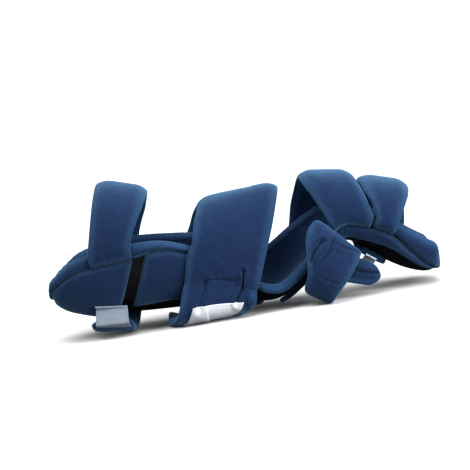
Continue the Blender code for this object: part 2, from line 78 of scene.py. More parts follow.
def give(node, **values):
    """Gives a node its settings and its inputs, by name."""
    for name, value in values.items():
        if hasattr(node, name):
            setattr(node, name, value)
        else:
            feed([node.inputs[name.replace("_", " ")]], [value])
    return node


def add(tree, kind, **values):
    """New shader node in a tree."""
    return give(tree.nodes.new("ShaderNode" + kind), **values)


def nodes_of(name, **values):
    """New material with its node tree and its shader."""
    material = bpy.data.materials.new(name)
    material.use_nodes = True
    tree = material.node_tree
    return material, tree, give(tree.nodes["Principled BSDF"], **values)


def shown_or_lighting(tree, shown, lighting):
    """Mix of two shaders: what the camera sees directly, and what lights everything else."""
    either = add(tree, "MixShader")
    ray = add(tree, "LightPath").outputs["Is Camera Ray"]
    feed(either.inputs, (ray, lighting.outputs[0], shown.outputs[0]))
    return either.outputs["Shader"]


level = Vector((1.0, 0.0, 0.0))
upright = Vector((0.0, math.sin(CAMERA_DROP), math.cos(CAMERA_DROP)))
ahead = Vector((0.0, math.cos(CAMERA_DROP), -math.sin(CAMERA_DROP)))
to_right = level * math.cos(CAMERA_ROLL) - upright * math.sin(CAMERA_ROLL)
to_top = level * math.sin(CAMERA_ROLL) + upright * math.cos(CAMERA_ROLL)
camera = put("camera", bpy.data.cameras.new("camera"))
camera.data.lens = LENS
camera.data.sensor_width = 36.0
turned = Matrix((to_right, to_top, -ahead)).transposed().to_4x4()
camera.matrix_world = Matrix.Translation(CAMERA_PLACE) @ turned
bpy.context.scene.camera = camera
bpy.context.scene.view_settings.view_transform = "Standard"

bm = bmesh.new()
bmesh.ops.create_circle(bm, cap_ends=True, segments=96, radius=TABLE_RADIUS)
table = put("table", mesh_of("table", bm))
white, tree, shader = nodes_of("pale_table", Base_Color=(0.90, 0.90, 0.90, 1.0), Roughness=0.9,
                               Specular_IOR_Level=0.1)
bounce = add(tree, "BsdfDiffuse", Color=(0.20, 0.20, 0.21, 1.0))
give(tree.nodes["Material Output"], Surface=shown_or_lighting(tree, shader, bounce))
table.data.materials.append(white)

world = bpy.data.worlds.new("room")
bpy.context.scene.world = world
world.use_nodes = True
room = world.node_tree
room.nodes.clear()
backdrop = add(room, "Background", Color=(1.0, 1.0, 1.0, 1.0), Strength=1.05)
glow = add(room, "Background", Color=(0.95, 0.97, 1.0, 1.0), Strength=0.34)
add(room, "OutputWorld", Surface=shown_or_lighting(room, backdrop, glow))

SKY_SOFTNESS = math.radians(75.0)
SKY_POWER = 4.1
SKY_FROM = (-0.10, -0.24, 1.0)
FRONT_SIZE = 0.9
FRONT_POWER = 17.0
FRONT_FROM = (0.84, -0.74, 0.32)
sky = bpy.data.lights.new("sky_light", "SUN")
sky.angle = SKY_SOFTNESS
sky.energy = SKY_POWER
front = bpy.data.lights.new("front_lamp", "AREA")
front.shape = "DISK"
front.size = FRONT_SIZE
front.energy = FRONT_POWER
for lamp, spot in ((sky, SKY_FROM), (front, FRONT_FROM)):
    holder = put(lamp.name, lamp)
    holder.location = spot
    holder.rotation_euler = (-Vector(spot)).to_track_quat("-Z", "Y").to_euler()


# Stiff trough
# A matt black moulded core carries the forearm, palm and fingers. It shows between the cloth panels,
# under the palm and along the underside, with a fine pebbled skin and a rounded edge.
LENGTH = 0.352
WIDTH = 0.092
WALL = 0.062
RISE = 0.040
BORDER = 0.010
HEEL_BORDER = 0.009
TIP_BORDER = 0.005
HEEL_ROUND = 0.009
TIP_ROUND = 0.018
DRAWN_IN = 0.8
SEAM = 0.8
SHELL_EDGE = 0.792
TROUGH_POWER = 2.4
CLEAR = 0.0003
SHELL = 0.0025
SHELL_EDGE_RADIUS = 0.0012
STAND = 0.0132

# Steps along and round the trough over which its slope is taken, and the thinnest a rounded edge gets
AHEAD = 0.0017
AROUND = 0.008
THINNEST = 0.10

# From the elbow's end to the fingertips: place along and rise, as shares of LENGTH and RISE, lean in
# degrees, half widths, walls and border, as shares of half of WIDTH, WALL and BORDER
Section = namedtuple("Section", "along rise lean near far near_wall far_wall border")
SECTIONS = [Section(*row) for row in (
    (-0.365, 0.900, 0.0, 0.43, 0.43, 0.13, 0.13, 0.70),
    (-0.355, 0.700, 0.0, 0.59, 0.59, 0.30, 0.30, 0.90),
    (-0.335, 0.530, 0.0, 0.74, 0.74, 0.50, 0.50, 1.00),
    (-0.301, 0.390, 0.0, 0.88, 0.88, 0.72, 0.72, 1.10),
    (-0.256, 0.270, 0.0, 0.96, 0.96, 0.86, 0.86, 1.15),
    (-0.165, 0.165, 0.0, 1.00, 1.00, 0.98, 0.98, 1.25),
    (-0.062, 0.100, 0.0, 0.91, 0.91, 0.98, 0.98, 0.80),
    (0.043, 0.045, 0.0, 0.81, 0.82, 0.73, 0.92, 0.75),
    (0.119, 0.000, 3.0, 0.80, 0.86, 0.38, 0.78, 0.75),
    (0.176, -0.075, 12.0, 0.84, 0.91, 0.26, 0.68, 0.70),
    (0.222, 0.040, 25.0, 0.82, 0.93, 0.18, 0.62, 0.65),
    (0.311, 0.600, 32.0, 0.76, 0.94, 0.18, 0.56, 0.65),
    (0.355, 0.870, 19.0, 0.80, 0.94, 0.31, 0.52, 0.70),
    (0.381, 0.965, 1.0, 0.85, 0.93, 0.37, 0.50, 0.80),
    (0.406, 0.900, -18.0, 0.88, 0.92, 0.40, 0.50, 0.85),
    (0.453, 0.555, -33.0, 0.90, 0.91, 0.52, 0.52, 1.00),
    (0.510, 0.208, -33.0, 0.87, 0.87, 0.50, 0.50, 1.45),
    (0.551, 0.035, -27.0, 0.78, 0.78, 0.46, 0.46, 1.80),
    (0.582, -0.020, -20.0, 0.66, 0.66, 0.41, 0.41, 1.80),
    (0.606, 0.080, -14.0, 0.55, 0.55, 0.27, 0.27, 0.80),
)]


def smooth(keys, values, t):
    """Rows of values at each t on smooth curves through the keyed rows."""
    keys, values = np.asarray(keys, float), np.asarray(values, float)
    order = np.arange(len(keys))
    low, high = np.maximum(order - 1, 0), np.minimum(order + 1, len(keys) - 1)
    gap = (keys[high] - keys[low]).reshape((-1,) + (1,) * (values.ndim - 1))
    slopes = (values[high] - values[low]) / gap
    t = np.clip(t, keys[0], keys[-1])
    i = np.minimum(np.searchsorted(keys, t, side="right") - 1, len(keys) - 2)
    span = (keys[i + 1] - keys[i])[:, None]
    s = (t - keys[i])[:, None] / span
    own = (np.arange(t.size),) if values.ndim == 3 else ()
    here, there = (i,) + own, (i + 1,) + own
    return (values[here] * (2 * s ** 3 - 3 * s ** 2 + 1) + slopes[here] * span * (s ** 3 - 2 * s ** 2 + s)
            + values[there] * (3 * s ** 2 - 2 * s ** 3) + slopes[there] * span * (s ** 3 - s ** 2))


def step(low, high, t):
    """Soft step from 0 to 1 between low and high."""
    share = np.clip((t - low) / (high - low), 0.0, 1.0)
    return share * share * (3.0 - 2.0 * share)


def bell(t, width):
    """Bell curve, 1 where t is 0."""
    return np.exp(-(t / width) ** 2)


def mix(pair, share):
    """Value between the two of a pair, or past them."""
    return pair[0] + (pair[1] - pair[0]) * share


def run_of(points):
    """Distance of each point of a line from its start."""
    return np.concatenate(([0.0], np.cumsum(np.linalg.norm(np.diff(points, axis=0), axis=1))))


KEYS = run_of(np.array([(row.along * LENGTH, row.rise * RISE) for row in SECTIONS]))
REACH = KEYS[-1]
QUARTER = np.linspace(0.0, math.pi / 2, 61)
OUTWARDS = np.sin(QUARTER) ** (2.0 / TROUGH_POWER)
UPWARDS = 1.0 - np.maximum(np.cos(QUARTER), 0.0) ** (2.0 / TROUGH_POWER)


def section(u):
    """Columns of the section table at distances along the trough's bottom."""
    return Section(*smooth(KEYS, SECTIONS, u).T)


def bare_hull(u, v):
    """Points on the bed's outer face: v runs from -1 at the near rim to 1 at the far rim."""
    row = section(u)
    near = v < 0.0
    across = np.where(near, row.near, row.far)[:, None] * WIDTH / 2 * OUTWARDS
    up = np.where(near, row.near_wall, row.far_wall)[:, None] * WALL * UPWARDS
    arcs = np.cumsum(np.hypot(np.diff(across, axis=1), np.diff(up, axis=1)), axis=1)
    arcs = np.hstack((np.zeros((u.size, 1)), arcs))
    border = row.border * BORDER
    seam = arcs[:, -1] - border
    share = np.abs(v)
    arc = np.where(share <= SEAM, share / SEAM * seam, seam + (share - SEAM) / (1.0 - SEAM) * border)
    i = np.minimum((arcs[:, 1:] < arc[:, None]).sum(axis=1), QUARTER.size - 2)
    every = np.arange(u.size)
    part = (arc - arcs[every, i]) / (arcs[every, i + 1] - arcs[every, i])
    out = mix((across[every, i], across[every, i + 1]), part)
    high = mix((up[every, i], up[every, i + 1]), part)
    lean = np.radians(row.lean)
    return np.stack((row.along * LENGTH - np.sin(lean) * high, np.where(near, -out, out),
                     STAND + row.rise * RISE + np.cos(lean) * high), axis=1)


def girths(u):
    """Lengths round the section from its middle to the near rim and to the far rim, and its border."""
    row = section(u.ravel())
    near, far = (np.hypot(np.diff(wide[:, None] * WIDTH / 2 * OUTWARDS),
                          np.diff(tall[:, None] * WALL * UPWARDS)).sum(axis=1).reshape(u.shape)
                 for wide, tall in ((row.near, row.near_wall), (row.far, row.far_wall)))
    return near, far, row.border.reshape(u.shape) * BORDER


def outline(u):
    """Place round the trough of its rim, which is drawn in to round both ends."""
    into = 1.0 - np.clip(np.minimum(u / HEEL_ROUND, (REACH - u) / TIP_ROUND), 0.0, 1.0)
    girth, _, border = girths(u)
    left = girth * np.sqrt(1.0 - DRAWN_IN * into ** 2)
    seam = girth - border
    return np.where(left < seam, left / seam * SEAM, SEAM + (left - seam) / border * (1.0 - SEAM))


def hull(u, v, lift):
    """Points lifted outwards from the bed's outer face, in the shape of the grid or line given."""
    u, v, lift = np.broadcast_arrays(np.asarray(u, float), np.asarray(v, float), np.asarray(lift, float))
    shape = u.shape + (3,)
    u, v = u.ravel(), v.ravel()
    along = bare_hull(np.minimum(u + AHEAD, REACH), v) - bare_hull(np.maximum(u - AHEAD, 0.0), v)
    across = bare_hull(u, np.minimum(v + AROUND, 1.0)) - bare_hull(u, np.maximum(v - AROUND, -1.0))
    inward = np.cross(along, across)
    inward /= np.linalg.norm(inward, axis=1, keepdims=True)
    return (bare_hull(u, v) - inward * lift.reshape(-1, 1)).reshape(shape)


def station(share, v):
    """Distances along the trough's bottom of points at v whose x is a share of LENGTH."""
    x, v = np.broadcast_arrays(np.atleast_1d(share) * LENGTH, np.atleast_1d(v).astype(float))
    low, high = np.zeros(x.size), np.full(x.size, REACH)
    for _ in range(40):
        middle = (low + high) / 2
        before = bare_hull(middle, v)[:, 0] < x
        low, high = np.where(before, middle, low), np.where(before, high, middle)
    return (low + high) / 2


def round_edge(distance, radius):
    """Share of the full thickness that far in from a rounded edge."""
    t = np.clip(distance / radius, 0.0, 1.0)
    return np.maximum(np.sqrt(t * (2.0 - t)), THINNEST)


GROWTH = 1.35


def packed(count, low, high, first):
    """Values from low to high, close together at both ends and even between them."""
    steps = [first]
    even = (high - low) / count
    while steps[-1] * GROWTH < even:
        steps.append(steps[-1] * GROWTH)
    ends = np.concatenate(([0.0], np.cumsum(steps)))
    left = max(int((high - low - 2 * ends[-1]) / even), 1)
    middle = np.linspace(low + ends[-1], high - ends[-1], left + 1)
    return np.concatenate((low + ends[:-1], middle, high - ends[:-1][::-1]))


def spans(points):
    """Distances from the first row of a grid of points, and from its first column."""
    down = np.linalg.norm(np.diff(points, axis=0), axis=2)
    over = np.linalg.norm(np.diff(points, axis=1), axis=2)
    rows, columns = points.shape[:2]
    return (np.vstack((np.zeros((1, columns)), np.cumsum(down, axis=0))),
            np.hstack((np.zeros((rows, 1)), np.cumsum(over, axis=1))))


def edges_of(points):
    """Distance of each point of a grid from its nearer end and from its nearer long edge."""
    down, over = spans(points)
    return np.minimum(down, down[-1:] - down), np.minimum(over, over[:, -1:] - over)


def unevenness(points, size, seed):
    """Soft noise between -1 and 1 over a grid of points, with bumps of the given size."""
    shift = Vector((seed * 7.31, seed * 3.17, seed * 5.73))
    flat = points.reshape(-1, 3) / size
    return np.array([noise.noise(Vector(p) + shift) for p in flat]).reshape(points.shape[:2])


def slab(name, inner, outer, marks=()):
    """Closed piece between two grids of points, with its cloth's own map in metres."""
    rows, columns = outer.shape[:2]
    bm = bmesh.new()
    bmesh.ops.create_grid(bm, x_segments=columns - 1, y_segments=rows - 1, size=1.0)
    slot = bm.verts.layers.int.new("slot")
    for i, vert in enumerate(bm.verts):
        vert[slot] = i
    for thing in bmesh.ops.extrude_face_region(bm, geom=bm.faces[:])["geom"]:
        if isinstance(thing, bmesh.types.BMVert):
            thing[slot] += rows * columns
    mesh = mesh_of(name, bm)
    slots = np.empty(len(mesh.vertices), np.int32)
    mesh.attributes["slot"].data.foreach_get("value", slots)
    mesh.attributes.remove(mesh.attributes["slot"])
    points = np.concatenate((inner.reshape(-1, 3), outer.reshape(-1, 3)))[slots]
    mesh.vertices.foreach_set("co", points.ravel())
    down, over = spans(outer)
    even_down = np.broadcast_to(down.mean(axis=1)[:, None], over.shape)
    cloth = np.stack((over - over[:, -1:] / 2, even_down), axis=2)
    loops = np.empty(len(mesh.loops), np.int32)
    mesh.loops.foreach_get("vertex_index", loops)
    mesh.uv_layers.new(name="cloth").data.foreach_set(
        "uv", cloth.reshape(-1, 2)[slots[loops] % (rows * columns)].ravel())
    for mark, values in dict(marks).items():
        layer = mesh.attributes.new(mark, "FLOAT", "POINT")
        layer.data.foreach_set("value", np.tile(values.ravel(), 2)[slots].astype(np.float32))
    mesh.shade_smooth()
    bm = bmesh.new()
    bm.from_mesh(mesh)
    if bm.calc_volume(signed=True) < 0.0:
        bmesh.ops.reverse_faces(bm, faces=bm.faces[:])
        bm.to_mesh(mesh)
    bm.free()
    return put(name, mesh)


def fit(piece, material, slot, *nodes):
    """Gives a piece its material and puts it in the place of its solids."""
    piece.data.materials.append(material)
    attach(piece, "root")
    if nodes:
        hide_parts(*nodes)


def own_place(tree):
    """Object coordinates of the piece."""
    return add(tree, "TexCoord").outputs["Object"]


def raise_by(tree, shader, height, strength, distance):
    """Bump on a shader from a height."""
    bump = add(tree, "Bump", Strength=strength, Distance=distance, Height=height)
    give(shader, Normal=bump.outputs["Normal"])


def ranged(tree, value, low, high, new_low=0.0, new_high=1.0):
    """Value taken from one range to another and kept within it."""
    return add(tree, "MapRange", Value=value, From_Min=low, From_Max=high, To_Min=new_low,
               To_Max=new_high).outputs["Result"]


shell_u = packed(220, HEEL_BORDER + 2 * CLEAR, REACH - TIP_BORDER - 2 * CLEAR, 0.0003)
shell_v = packed(96, -SHELL_EDGE, SHELL_EDGE, 0.004)
U, V = np.meshgrid(shell_u, shell_v, indexing="ij")
V = V * outline(U)
ends, sides = edges_of(hull(U, V, CLEAR + SHELL / 2))
half = SHELL / 2 * round_edge(np.minimum(ends, sides), SHELL_EDGE_RADIUS)
shell = slab("base_shell", hull(U, V, CLEAR + SHELL / 2 - half), hull(U, V, CLEAR + SHELL / 2 + half))

matt_black, tree, shader = nodes_of("matt_black_core", Specular_IOR_Level=0.08)
place = own_place(tree)
pebbles = add(tree, "TexVoronoi", Vector=place, Scale=1300.0).outputs["Distance"]
dust = add(tree, "TexNoise", Vector=place, Scale=60.0, Detail=6.0).outputs["Fac"]
ramp = add(tree, "ValToRGB", Fac=dust)
for stop, position, colour in zip(ramp.color_ramp.elements, (0.35, 0.75),
                                  ((0.0014, 0.0014, 0.0019, 1.0), (0.0065, 0.0068, 0.0085, 1.0))):
    stop.position = position
    stop.color = colour
give(shader, Base_Color=ramp.outputs["Color"], Roughness=ranged(tree, dust, 0.0, 1.0, 0.52, 0.78))
raise_by(tree, shader, pebbles, 0.35, 0.0003)
fit(shell, matt_black, "shell", "base_shell")


# Padded bed
# A soft foam liner covered in brushed navy loop cloth lies in the trough. Its border is rolled over the
# trough's edge all round and sewn down along a seam.
LINER = 0.006
BORDER_ROLL = 0.0062

# How far past its seam the border's roll comes down, and over how long the seam turns at the ends
ROLL_END = 0.0018
SEAM_TURN = 0.005

# Cloth in the hollows between its loops, on them, and where it is brushed up
CLOTH_DEEP = (0.0020, 0.0082, 0.0350, 1.0)
CLOTH_FACE = (0.0048, 0.0215, 0.0770, 1.0)
CLOTH_NAP = (0.0280, 0.0820, 0.1800, 1.0)

cloth_look = bpy.data.node_groups.new("brushed_cloth", "ShaderNodeTree")
for way, sockets in (
        ("INPUT", (("Map", "Vector"), ("Place", "Vector"), ("Deep", "Color"), ("Face", "Color"),
                   ("Nap", "Color"), ("Worn", "Float"), ("Seam", "Float"))),
        ("OUTPUT", (("Color", "Color"), ("Roughness", "Float"), ("Height", "Float")))):
    for label, kind in sockets:
        cloth_look.interface.new_socket(name=label, in_out=way, socket_type="NodeSocket" + kind)
given = cloth_look.nodes.new("NodeGroupInput").outputs
result = cloth_look.nodes.new("NodeGroupOutput")


def blend(tree, low, high, share):
    """Colour mixed between two."""
    node = add(tree, "Mix", data_type="RGBA")
    feed((node.inputs[0], node.inputs[6], node.inputs[7]), (share, low, high))
    return node.outputs[2]


def calc(tree, how, *values):
    """Result of a math node."""
    node = add(tree, "Math", operation=how)
    feed(node.inputs, values)
    return node.outputs[0]


def stain(tree, colour, other, mask, low, high, share):
    """Colour turned by a share into another where a mask goes from low to high."""
    return blend(tree, colour, other, calc(tree, "MULTIPLY", ranged(tree, mask, low, high), share))


# Loops in rows about 0.7 mm apart, brushed one way, with lint and faint pressed patches
tree = cloth_look
stretched = add(tree, "Mapping", Vector=given["Map"], Scale=(1.0, 0.55, 1.0)).outputs["Vector"]
fibre = add(tree, "TexNoise", Vector=stretched, Scale=1700.0, Detail=3.0,
            Roughness=0.65).outputs["Fac"]
loops = add(tree, "TexVoronoi", Vector=given["Map"], Scale=1250.0,
            Randomness=0.85).outputs["Distance"]
wales = add(tree, "TexWave", Vector=given["Map"], Scale=220.0, Distortion=2.5, Detail=2.0,
            Detail_Scale=3.0).outputs["Fac"]
lint = add(tree, "TexNoise", Vector=given["Place"], Scale=420.0, Detail=5.0,
           Roughness=0.7).outputs["Fac"]
pressed = add(tree, "TexNoise", Vector=given["Place"], Scale=38.0, Detail=4.0,
              Roughness=0.6).outputs["Fac"]

weave = blend(tree, given["Deep"], given["Face"], ranged(tree, fibre, 0.32, 0.66))
weave = stain(tree, weave, given["Deep"], loops, 0.42, 0.85, 0.45)
weave = stain(tree, weave, given["Nap"], lint, 0.50, 0.78, 0.30)
weave = stain(tree, weave, given["Deep"], pressed, 0.45, 0.72, 0.45)
# Marked edges turn toward the nap colour: partly worn fuzz, partly a painted highlight along rounded edges
fluff_and_highlight = calc(tree, "MULTIPLY", given["Worn"], ranged(tree, lint, 0.25, 0.6, 0.35, 1.0))
weave = blend(tree, weave, given["Nap"], calc(tree, "MULTIPLY", fluff_and_highlight, 0.62))
# Marked seams are darkened: partly the sewn line's own colour, partly painted shade in the groove
painted_seam_shade = calc(tree, "SUBTRACT", 1.0, calc(tree, "MULTIPLY", given["Seam"], 0.86))
tint = add(tree, "VectorMath", operation="SCALE", Vector=weave, Scale=painted_seam_shade).outputs["Vector"]
height = calc(tree, "ADD", calc(tree, "MULTIPLY", fibre, 0.55), calc(tree, "MULTIPLY", loops, -0.35))
for wave, share in ((wales, 0.10), (lint, 0.60)):
    height = calc(tree, "ADD", height, calc(tree, "MULTIPLY", wave, share))
give(result, Color=tint, Roughness=ranged(tree, lint, 0.3, 0.7, 0.84, 0.97), Height=height)


def marks_of(tree, *names):
    """Values kept on the piece's points under these names."""
    return [add(tree, "Attribute", attribute_name=name).outputs["Fac"] for name in names]


def loop_cloth(name):
    """Brushed loop cloth for one piece."""
    material, tree, shader = nodes_of(name, Specular_IOR_Level=0.18, Sheen_Weight=0.62,
                                      Sheen_Roughness=0.42, Sheen_Tint=(0.25, 0.60, 1.00, 1.0))
    wear_and_highlight, seam = marks_of(tree, "wear_and_highlight", "seam")
    look = add(tree, "Group", node_tree=cloth_look, Deep=CLOTH_DEEP, Face=CLOTH_FACE,
               Nap=CLOTH_NAP, Map=add(tree, "UVMap", uv_map="cloth").outputs["UV"],
               Place=own_place(tree), Worn=wear_and_highlight, Seam=seam).outputs
    give(shader, Base_Color=look["Color"], Roughness=look["Roughness"])
    raise_by(tree, shader, look["Height"], 0.55, 0.0006)
    return material


# The rim as a line of points, from which distances inwards over the bed are measured
rim_u = np.concatenate((np.linspace(0.0, HEEL_ROUND, 90), packed(300, 0.0, REACH, 0.0002),
                        np.linspace(REACH - TIP_ROUND, REACH, 180)))
end_v = np.linspace(-1.0, 1.0, 60)[:, None] * outline(np.array([0.0, REACH]))
RIM = np.vstack((bare_hull(rim_u, -outline(rim_u)), bare_hull(rim_u, outline(rim_u)),
                 bare_hull(np.zeros(60), end_v[:, 0]), bare_hull(np.full(60, REACH), end_v[:, 1])))


def from_rim(u, v):
    """Distance of places on the trough from its rim."""
    points = bare_hull(u.ravel(), v.ravel())
    near = [np.linalg.norm(chunk[:, None] - RIM, axis=2).min(axis=1)
            for chunk in np.array_split(points, max(points.shape[0] // 400, 1))]
    return np.concatenate(near).reshape(u.shape)


def past_seam(u, v):
    """Distance inwards from the border's seam, which turns softly at both ends, below 0 on the border."""
    near, far, border = girths(u)
    girth = np.where(v < 0.0, near, far)
    share = np.abs(v) / outline(u)
    scale = np.where(share < SEAM, (girth - border) / SEAM, border / (1.0 - SEAM))
    side = (SEAM - share) * scale
    end = np.where(u < REACH / 2, u - HEEL_BORDER, REACH - u - TIP_BORDER)
    part = np.clip(0.5 + (end - side) / (2.0 * SEAM_TURN), 0.0, 1.0)
    return mix((end, side), part) - SEAM_TURN * part * (1.0 - part)


# Straps that pass over the border press it down: the places of their edges along the near rim and the
# far rim, as shares of LENGTH
Press = namedtuple("Press", "near far")
PRESSES = (
    Press((-0.252, -0.150), (-0.243, -0.141)),
    Press((0.354, 0.446), (0.255, 0.370)),
    Press((0.4515, 0.497), (0.455, 0.553)),
    Press((-0.004, 0.155), (-0.015, 0.165)),
)


def pressed_by_straps(u, v):
    """Share from 0 to 1 by which a strap lies on the border there."""
    load = np.zeros(u.shape)
    for press in PRESSES:
        for low_high, side in ((press.near, -1.0), (press.far, 1.0)):
            low, high = station(low_high, side * 0.9)
            across = step(low - 0.003, low + 0.004, u) * (1.0 - step(high - 0.004, high + 0.003, u))
            load = np.maximum(load, across * (np.sign(v) == side) * (np.abs(v) > 0.6))
    return load


bed_u = packed(230, 0.0, REACH, 0.0003)
bed_v = packed(132, -1.0, 1.0, 0.004)
U, V = np.meshgrid(bed_u, bed_v, indexing="ij")
V = V * outline(U)
rim = from_rim(U, V)
past = past_seam(U, V)
load = pressed_by_straps(U, V)
puckers = np.sin(U / 0.0043 + 3.0 * np.sin(U / 0.021)) * np.sin(V * 60.0 + U / 0.006)
plump = 0.0016 * step(REACH - 0.034, REACH - 0.008, U) + 0.0012 * step(0.030, 0.006, U)
top = (BORDER_ROLL + plump - 0.0019 * load) * (1.0 - step(0.0002, ROLL_END, past))
top -= 0.0030 * step(-0.0030, 0.0, past)
top = np.where(past > ROLL_END, 0.0, np.maximum(top, 0.0))
lower = LINER + plump * (1.0 - step(-0.006, 0.010, past))
wide = bare_hull(U.ravel(), V.ravel()).reshape(U.shape + (3,))
soft = 0.00045 * unevenness(wide, 0.016, 1) + 0.00022 * unevenness(wide, 0.006, 2)
soft += 0.00016 * puckers * bell(past, 0.004)
roundness = round_edge(rim, 0.0056 + plump)
middle = (top - lower) / 2
thick = (top + lower) / 2
lift_in = middle - thick * roundness - soft * roundness
lift_out = middle + thick * roundness + np.where(past < 0.0, soft, 0.0)
# Darkened line along the border's seam: partly its stitching, partly painted shade in the groove
seam_shade_mark = bell(past, 0.0007)
# Lightened band along the rolled border's crown near the rim: partly worn fuzz, partly a painted highlight
wear_and_highlight_mark = np.clip(1.0 - np.abs(rim - 0.002) / 0.006, 0.0, 1.0) * 0.75
bed = slab("liner", hull(U, V, lift_in), hull(U, V, lift_out), {"wear_and_highlight": wear_and_highlight_mark, "seam": seam_shade_mark})
fit(bed, loop_cloth("bed_cloth"), "cloth", "liner")


# Outer panels
# Cloth panels cover the trough's walls from the border's seam downwards. A black band of bare core is
# left between the two on the forearm. Their turned edges are thin and a little puckered.
PANEL = 0.0035
PANEL_CLEAR = 0.0005
PANEL_SEAT = CLEAR + SHELL + PANEL_CLEAR
BAND_WIDTH = 0.011
BAND_SLANT = (-0.236, -0.148)

# How far round the trough the lower edge of the near panel rises on its way to the fingertips
PAN_RISE = 0.09


def band_start(v):
    """Where the black band starts: it slants towards the elbow going down."""
    return station(mix(BAND_SLANT, np.abs(v) / SEAM), np.zeros(v.size))


def band_end(v):
    """Where the black band ends."""
    return band_start(v) + BAND_WIDTH


heel = HEEL_BORDER + 2 * CLEAR
tip = REACH - TIP_BORDER - 2 * CLEAR
arm_end, palm_start, pan_start = station((0.085, 0.185, 0.352), 0.0)

Panel = namedtuple("Panel", "name first last start end seed")
PANELS = (
    Panel("arm_panel_rear", -SHELL_EDGE, SHELL_EDGE, heel, band_start, 11),
    Panel("arm_panel_near", -SHELL_EDGE, -0.32, band_end, arm_end, 12),
    Panel("arm_panel_far", 0.32, SHELL_EDGE, band_end, arm_end, 13),
    Panel("hand_panel_near", -SHELL_EDGE, -0.57, pan_start, tip, 14),
    Panel("hand_panel_far", 0.48, SHELL_EDGE, palm_start, tip, 15),
)
for row in PANELS:
    lines = packed(int(78 * (row.last - row.first)), row.first, row.last, 0.003)
    starts, finishes = (place(lines) if callable(place) else np.full(lines.size, place)
                        for place in (row.start, row.end))
    shares = packed(int((finishes - starts).max() / 0.0015), 0.0, 1.0, 0.003)
    U = starts + (finishes - starts) * shares[:, None]
    down = np.where(lines < 0.0, (lines - row.first) / (row.last - row.first), 0.0)
    V = (lines - PAN_RISE * down * step(REACH - 0.080, REACH - 0.035, U)) * outline(U)
    face = hull(U, V, PANEL_SEAT + PANEL / 2)
    ends, sides = edges_of(face)
    inside = past_seam(U, V)
    edge = np.minimum(np.minimum(ends, sides), np.maximum(inside + 0.0006, 0.0))
    fullness = round_edge(edge, 0.0030)
    crowned = 0.86 + 0.14 * step(0.0, 0.014, edge)
    puckers = np.sin(U / 0.0021 + 2.0 * np.sin(U / 0.013)) * 0.00013 * bell(edge, 0.005)
    soft = 0.00040 * unevenness(face, 0.021, row.seed) + 0.00018 * unevenness(face, 0.007, row.seed + 0.5)
    sunk = 0.0030 * step(0.0, 0.0016, -inside)
    low = PANEL_SEAT - 0.0002 - sunk
    high = low + (PANEL + 0.0002) * fullness * crowned + (soft + puckers) * fullness
    # Lightened band along the rounded edges, stronger towards the fingertips: partly worn fuzz, partly a
    # painted highlight
    wear_and_highlight_mark = bell(np.abs(edge - 0.0018), 0.0022) * step(0.0, 0.01, sides + 0.004)
    wear_and_highlight_mark *= 0.5 + 0.45 * step(REACH - 0.10, REACH - 0.03, U)
    # The edges are darkened too: partly the seam's own line, partly painted shade where the panel meets its
    # neighbours
    panel = slab(row.name, hull(U, V, low), hull(U, V, high),
                 {"wear_and_highlight": wear_and_highlight_mark, "seam": bell(edge, 0.0007)})
    fit(panel, loop_cloth(row.name + "_cloth"), "cloth", row.name)


# Straps sewn at the near seam
# Three padded straps start in the seam of the border, arch over the forearm, knuckles and fingers, and
# come down the far side to fasten under the trough with hook tape.
STRAP = 0.0045
STRAP_CLEAR = 0.0007
STRAP_SEAT = PANEL_SEAT + PANEL + STRAP_CLEAR
SHELL_SEAT = CLEAR + SHELL + STRAP_CLEAR
ARCH_POWER = 2.25

# Places of a strap's edges at the seam, the crown, the far rim and the free end, as shares of LENGTH,
# the crown's heights, the free end's place round the trough, where it passes onto the bare core, and
# how far it hangs loose under the trough, more and more between two places round it
HANG = (0.25, -0.20)
Strap = namedtuple("Strap", "name seam crown heights far end last bare slack seed")
STRAPS = (
    Strap("proximal_strap", (-0.252, -0.150), (-0.211, -0.094), (0.1345, 0.1220), (-0.243, -0.141),
          (-0.270, -0.170), -0.33, -1.0, 0.0085, 21),
    Strap("knuckle_strap", (0.354, 0.446), (0.298, 0.425), (0.1130, 0.1065), (0.255, 0.370),
          (0.182, 0.276), -0.32, 0.5, 0.0, 22),
    Strap("finger_strap", (0.4515, 0.497), (0.447, 0.559), (0.1010, 0.0890), (0.455, 0.553),
          (0.420, 0.484), -0.34, 0.5, 0.0, 23),
)


def seat_of(strap, v):
    """Height of a sewn strap's inner face over the bed's outer face."""
    sunk = (STRAP_SEAT - SHELL_SEAT) * (1.0 - step(strap.bare - 0.22, strap.bare - 0.02, v))
    return STRAP_SEAT - sunk + strap.slack * step(HANG[0], HANG[1], v)


def arch(foot, crown, t):
    """Quarter of an arch from its feet (t 0) up to its crowns (t 1), leaning evenly with height."""
    turn = math.pi / 2 * t
    up = np.sin(turn) ** (2.0 / ARCH_POWER)
    out = np.maximum(np.cos(turn), 0.0) ** (2.0 / ARCH_POWER)
    return np.stack((mix((foot[:, 0], crown[:, 0]), up), crown[:, 1] + (foot[:, 1] - crown[:, 1]) * out,
                     mix((foot[:, 2], crown[:, 2]), up)), axis=1)


def half_arch(places, rim, crown, heights, rising):
    """Stretch of a strap between a rim of the trough and the strap's crown."""
    def surface(s, w):
        top = np.stack((mix(crown, w) * LENGTH, np.zeros(w.size), mix(heights, w)), axis=1)
        return arch(hull(mix(places, w), rim, STRAP_SEAT), top, s if rising else 1.0 - s)
    return surface


def stretches(*parts):
    """Surface made of parts one after another, each a function of its own share and one across."""
    def surface(t, w):
        points = np.empty((t.size, 3))
        for turn, part in enumerate(parts):
            here = np.minimum(t.astype(int), len(parts) - 1) == turn
            if here.any():
                points[here] = part(t[here] - turn, w[here])
        return points
    return surface


